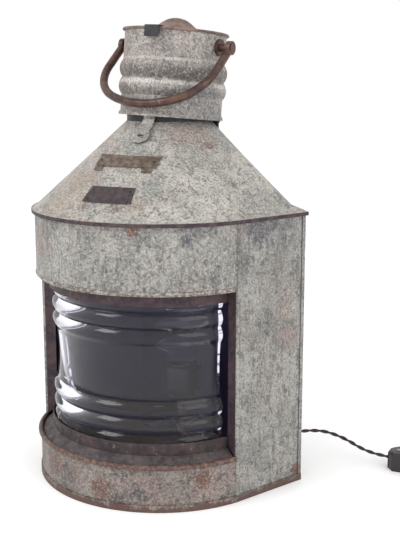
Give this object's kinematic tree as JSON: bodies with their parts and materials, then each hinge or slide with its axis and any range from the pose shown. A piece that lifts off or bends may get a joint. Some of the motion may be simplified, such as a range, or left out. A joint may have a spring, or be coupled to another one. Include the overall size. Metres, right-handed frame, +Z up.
{
  "type": "ship lantern",
  "caption": "Galvanised ship lantern with a ribbed bow lens, sloping roof, hinged chimney hood, wire-rod bail and a twisted mains flex.",
  "frame": {"origin": "centre of the bow of the case, on the surface it stands on", "axes": "+Z up; the window faces -Y; +X is to the right seen from in front of the window, the side where the flex leaves"},
  "size_m": [0.5057, 0.3794, 0.4769],
  "materials": {
    "galvanised": "weathered hot-dip galvanised sheet with rust",
    "rusty_edge": "rust-brown rolled edges and tray",
    "brown_iron": "copper-brown round rod",
    "dark_steel": "dark steel strip and pins",
    "lens": "clear pressed glass with prism ribs",
    "bulb": "clear bulb glass",
    "brass": "tarnished brass",
    "plate_dark": "dark oxidised plate",
    "bakelite": "dark moulded plastic",
    "flex": "braided twisted flex",
    "zinc": "zinc-plated fasteners"
  },
  "bodies": {
    "case": {"base_tray": "rusty_edge", "lower_front_band": "galvanised", "upper_front_band": "galvanised", "window_sill": "rusty_edge", "window_head": "rusty_edge", "right_window_jamb": "rusty_edge", "left_window_jamb": "rusty_edge", "lens_glass": "lens", "lens_kerb": "rusty_edge", "lens_top_ring": "rusty_edge", "right_side_panel": "galvanised", "left_side_panel": "galvanised", "right_rear_panel": "galvanised", "left_rear_panel": "galvanised", "back_panel": "galvanised", "front_seams": "rusty_edge", "rear_seams": "galvanised", "roof_flange": "galvanised", "roof_cone": "galvanised", "neck_collar": "dark_steel", "upper_name_plate": "brass", "lower_name_plate": "plate_dark", "plate_rivets": "brass", "hinge_fixed_leaf": "dark_steel", "hinge_pin": "dark_steel", "lamp_bracket": "zinc", "bracket_screws": "zinc", "lamp_stem": "brass", "lamp_holder": "bakelite", "bulb_cap": "brass", "bulb_glass": "bulb", "strain_relief": "bakelite", "relief_nut": "bakelite", "inner_flex": "flex", "flex_to_switch": "flex", "flex_to_coil": "flex", "flex_to_plug": "flex", "flex_coil": "flex", "switch_body": "bakelite", "rocker_pin": "zinc", "switch_screws": "zinc", "plug_body": "bakelite", "plug_pins": "zinc"},
    "hood": {"hood_shell": "galvanised", "hood_hem": "galvanised", "hood_cap": "rusty_edge", "cap_clip": "dark_steel", "hinge_hood_leaf": "dark_steel", "hood_leaf_rivets": "dark_steel", "hasp_strap": "galvanised", "hasp_rivets": "galvanised", "right_ear": "brown_iron", "left_ear": "brown_iron", "right_bail_stud": "brown_iron", "left_bail_stud": "brown_iron"},
    "bail": {"bail": "brown_iron"},
    "rocker": {"switch_rocker": "bakelite"}
  },
  "joints": [
    {"name": "hood_hinge", "type": "hinge", "parent": "case", "child": "hood", "pos_m": [0, 0.07615, 0.37132], "axis": [-0.9994, 0, 0.0349], "range_deg": [0, 100]},
    {"name": "bail_swing", "type": "hinge", "parent": "hood", "child": "bail", "pos_m": [0.00268, 0.02352, 0.44814], "axis": [-0.9994, 0, 0.0349], "range_deg": [0, 262]},
    {"name": "switch_rock", "type": "hinge", "parent": "case", "child": "rocker", "pos_m": [0.2477, 0.12211, 0.018], "axis": [0.1392, -0.9903, 0], "range_deg": [0, 8]}
  ]
}
